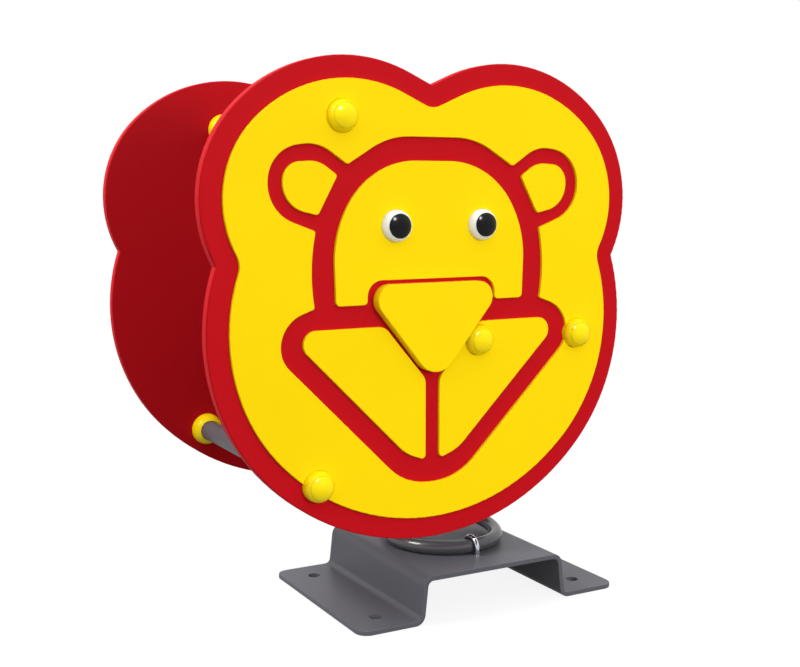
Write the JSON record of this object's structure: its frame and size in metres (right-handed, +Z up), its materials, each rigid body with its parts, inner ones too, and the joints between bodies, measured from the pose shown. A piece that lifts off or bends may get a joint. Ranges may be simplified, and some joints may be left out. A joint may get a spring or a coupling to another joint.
{
  "type": "spring rocker",
  "caption": "Playground spring rocker: red boards with raised yellow lion faces on both sides of a seat, on a coil spring clamped to a bent steel base.",
  "frame": {"origin": "on the ground at the centre of the four anchor holes, on the spring's axis", "axes": "+Z up; the rider faces -X; the two boards stand across Y, the front board at -Y"},
  "size_m": [0.7871, 0.547, 0.8975],
  "materials": {
    "red_board": "satin red polyethylene board",
    "yellow_panel": "satin yellow polyethylene board",
    "yellow_cap": "glossy yellow moulded plastic",
    "white_eye": "glossy white moulded plastic",
    "black_eye": "glossy black moulded plastic",
    "grey_base": "satin dark grey powder coat",
    "grey_spring": "semi-gloss dark grey powder coat",
    "grey_tube": "satin grey powder coat",
    "chrome_bolt": "bright plated",
    "bright_steel": "zinc-plated steel"
  },
  "bodies": {
    "base": {"base_plate": "grey_base", "lower_u_bolts": "chrome_bolt", "lower_u_bolt_washers": "bright_steel", "lower_u_bolt_nuts": "bright_steel"},
    "spring": {"spring": "grey_spring"},
    "rider": {"top_plate": "grey_base", "upper_u_bolts": "chrome_bolt", "upper_u_bolt_washers": "bright_steel", "upper_u_bolt_nuts": "bright_steel", "seat_gussets": "grey_base", "handle_tube": "grey_tube", "footrest_tube": "grey_tube", "front_seat_tube": "grey_tube", "rear_seat_tube": "grey_tube", "tube_end_plugs": "bright_steel", "handle_collars": "yellow_cap", "footrest_collars": "yellow_cap", "seat_tube_collars": "yellow_cap", "seat_board": "red_board", "seat_straps": "grey_tube", "seat_bolts": "bright_steel", "seat_bolt_washers": "bright_steel", "seat_bolt_nuts": "bright_steel", "front_board": "red_board", "front_mane": "yellow_panel", "front_forehead": "yellow_panel", "front_nose": "yellow_panel", "front_cheek_left": "yellow_panel", "front_cheek_right": "yellow_panel", "front_ear_left": "yellow_panel", "front_ear_right": "yellow_panel", "front_eye_whites": "white_eye", "front_eye_pupils": "black_eye", "front_eye_screws": "bright_steel", "front_cap_rings": "yellow_cap", "front_cap_lids": "yellow_cap", "front_tube_bolts": "bright_steel", "front_tube_washers": "bright_steel", "rear_board": "red_board", "rear_mane": "yellow_panel", "rear_forehead": "yellow_panel", "rear_nose": "yellow_panel", "rear_cheek_left": "yellow_panel", "rear_cheek_right": "yellow_panel", "rear_ear_left": "yellow_panel", "rear_ear_right": "yellow_panel", "rear_eye_whites": "white_eye", "rear_eye_pupils": "black_eye", "rear_eye_screws": "bright_steel", "rear_cap_rings": "yellow_cap", "rear_cap_lids": "yellow_cap", "rear_tube_bolts": "bright_steel", "rear_tube_washers": "bright_steel"}
  },
  "joints": [
    {"name": "fore_aft_rock", "type": "hinge", "parent": "base", "child": "spring", "pos_m": [0, 0, 0.235], "axis": [0, 1, 0], "range_deg": [-18, 18], "stiffness_Nm_per_rad": 2300, "springref_deg": 1.07, "deforming": ["spring"]},
    {"name": "side_rock", "type": "hinge", "parent": "spring", "child": "rider", "pos_m": [0, 0, 0.235], "axis": [1, 0, 0], "range_deg": [-12, 12], "stiffness_Nm_per_rad": 2300, "deforming": ["spring"]}
  ]
}
